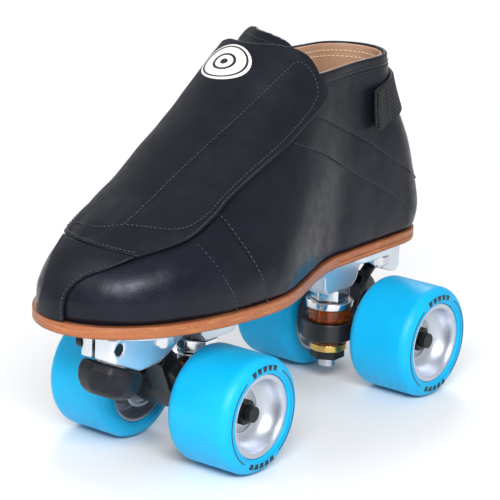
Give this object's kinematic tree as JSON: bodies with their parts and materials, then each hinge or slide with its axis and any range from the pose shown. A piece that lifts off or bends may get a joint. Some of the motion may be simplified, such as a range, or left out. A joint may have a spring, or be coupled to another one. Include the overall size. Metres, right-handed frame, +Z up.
{
  "type": "quad roller skate",
  "caption": "Left-foot quad roller skate: low black leather boot with a fold-over closing flap on a metal plate, with steering trucks, blue wheels and a toe plug.",
  "frame": {"origin": "on the ground, midway between the two axles, in the skate's middle plane", "axes": "+X towards the toe, +Y towards the outer side of the left foot, +Z up"},
  "size_m": [0.2656, 0.113, 0.1985],
  "materials": {
    "boot_leather": "smooth black leather with a satin sheen",
    "lining_leather": "tan lining leather",
    "sole_leather": "layered tan sole leather with a waxed edge",
    "lace": "flat woven lace",
    "webbing": "woven nylon webbing",
    "hook_and_loop": "hook and loop pile",
    "badge": "white moulded badge with a black ring",
    "plate_metal": "tumbled and clear anodised",
    "bright_steel": "bright plated steel",
    "black_steel": "black oxide steel",
    "dark_shield": "bearing steel with dark shields",
    "ball_steel": "ground steel balls in a steel cage",
    "brass": "plain brass",
    "amber_urethane": "clear amber urethane",
    "hanger_black": "gloss black",
    "hub_aluminium": "turned and polished",
    "blue_urethane": "bright blue urethane, satin",
    "plug_rubber": "dark grey moulded rubber",
    "nylon": "amber nylon",
    "insole_foam": "covered foam"
  },
  "bodies": {
    "boot_and_plate": {"base_plate": "plate_metal", "outsole": "sole_leather", "heel_lift": "sole_leather", "insole": "insole_foam", "upper": "boot_leather", "lining": "lining_leather", "tongue": "boot_leather", "laces": "lace", "eyelets": "black_steel", "toe_strip": "boot_leather", "heel_loop": "webbing", "loop_patch": "hook_and_loop", "mounting_bolts": "bright_steel", "mounting_nuts": "bright_steel", "clamp_screw": "black_steel", "front_kingpin": "bright_steel", "rear_kingpin": "bright_steel", "kingpin_lock_nuts": "bright_steel", "upper_cups": "bright_steel", "front_upper_cushion": "amber_urethane", "rear_upper_cushion": "amber_urethane", "front_lower_cushion": "amber_urethane", "rear_lower_cushion": "amber_urethane", "lower_retainers": "brass", "kingpin_nuts": "black_steel", "pivot_cups": "nylon"},
    "closing_flap": {"flap": "boot_leather", "hook_patch": "hook_and_loop", "badge": "badge"},
    "toe_plug_unit": {"plug_stem": "bright_steel", "toe_plug": "plug_rubber"},
    "front_truck": {"front_hanger": "hanger_black", "front_axle": "black_steel", "front_pivot_pin": "hanger_black", "front_bearing_inner_rings": "bright_steel", "front_wheel_spacers": "bright_steel", "front_axle_nuts": "black_steel"},
    "rear_truck": {"rear_hanger": "hanger_black", "rear_axle": "black_steel", "rear_pivot_pin": "hanger_black", "rear_bearing_inner_rings": "bright_steel", "rear_wheel_spacers": "bright_steel", "rear_axle_nuts": "black_steel"},
    "front_left_wheel": {"front_left_tyre": "blue_urethane", "front_left_hub": "hub_aluminium", "front_left_bearing_outer_rings": "dark_shield"},
    "front_left_balls": {"front_left_ball_cages": "ball_steel"},
    "front_right_wheel": {"front_right_tyre": "blue_urethane", "front_right_hub": "hub_aluminium", "front_right_bearing_outer_rings": "dark_shield"},
    "front_right_balls": {"front_right_ball_cages": "ball_steel"},
    "rear_left_wheel": {"rear_left_tyre": "blue_urethane", "rear_left_hub": "hub_aluminium", "rear_left_bearing_outer_rings": "dark_shield"},
    "rear_left_balls": {"rear_left_ball_cages": "ball_steel"},
    "rear_right_wheel": {"rear_right_tyre": "blue_urethane", "rear_right_hub": "hub_aluminium", "rear_right_bearing_outer_rings": "dark_shield"},
    "rear_right_balls": {"rear_right_ball_cages": "ball_steel"}
  },
  "joints": [
    {"name": "front_truck_steer", "type": "hinge", "parent": "boot_and_plate", "child": "front_truck", "pos_m": [0.056, 0, 0.03055], "axis": [0.8169, 0, 0.5768], "range_deg": [-10, 10], "stiffness_Nm_per_rad": 25, "deforming": ["front_upper_cushion", "front_lower_cushion"]},
    {"name": "rear_truck_steer", "type": "hinge", "parent": "boot_and_plate", "child": "rear_truck", "pos_m": [-0.056, 0, 0.03055], "axis": [-0.8169, 0, 0.5768], "range_deg": [-10, 10], "stiffness_Nm_per_rad": 25, "deforming": ["rear_upper_cushion", "rear_lower_cushion"]},
    {"name": "front_left_wheel_spin", "type": "hinge", "parent": "front_truck", "child": "front_left_wheel", "pos_m": [0.075, 0, 0.0295], "axis": [0, 1, 0], "continuous": true},
    {"name": "front_left_balls_spin", "type": "hinge", "parent": "front_truck", "child": "front_left_balls", "pos_m": [0.075, 0, 0.0295], "axis": [0, 1, 0], "continuous": true},
    {"name": "front_right_wheel_spin", "type": "hinge", "parent": "front_truck", "child": "front_right_wheel", "pos_m": [0.075, 0, 0.0295], "axis": [0, 1, 0], "continuous": true},
    {"name": "front_right_balls_spin", "type": "hinge", "parent": "front_truck", "child": "front_right_balls", "pos_m": [0.075, 0, 0.0295], "axis": [0, 1, 0], "continuous": true},
    {"name": "rear_left_wheel_spin", "type": "hinge", "parent": "rear_truck", "child": "rear_left_wheel", "pos_m": [-0.075, 0, 0.0295], "axis": [0, 1, 0], "continuous": true},
    {"name": "rear_left_balls_spin", "type": "hinge", "parent": "rear_truck", "child": "rear_left_balls", "pos_m": [-0.075, 0, 0.0295], "axis": [0, 1, 0], "continuous": true},
    {"name": "rear_right_wheel_spin", "type": "hinge", "parent": "rear_truck", "child": "rear_right_wheel", "pos_m": [-0.075, 0, 0.0295], "axis": [0, 1, 0], "continuous": true},
    {"name": "rear_right_balls_spin", "type": "hinge", "parent": "rear_truck", "child": "rear_right_balls", "pos_m": [-0.075, 0, 0.0295], "axis": [0, 1, 0], "continuous": true},
    {"name": "toe_plug_height", "type": "slide", "parent": "boot_and_plate", "child": "toe_plug_unit", "axis": [0.3746, 0, -0.9272], "range_m": [0, 0.006]},
    {"name": "flap_open", "type": "hinge", "parent": "boot_and_plate", "child": "closing_flap", "pos_m": [0.044, -0.0281, 0.1616], "axis": [0.763, -0.0955, -0.6394], "range_deg": [0, 100]}
  ],
  "couplings": [
    {"joint": "front_left_balls_spin", "follows": "front_left_wheel_spin", "ratio": 0.6306},
    {"joint": "front_right_balls_spin", "follows": "front_right_wheel_spin", "ratio": 0.6306},
    {"joint": "rear_left_balls_spin", "follows": "rear_left_wheel_spin", "ratio": 0.6306},
    {"joint": "rear_right_balls_spin", "follows": "rear_right_wheel_spin", "ratio": 0.6306}
  ]
}
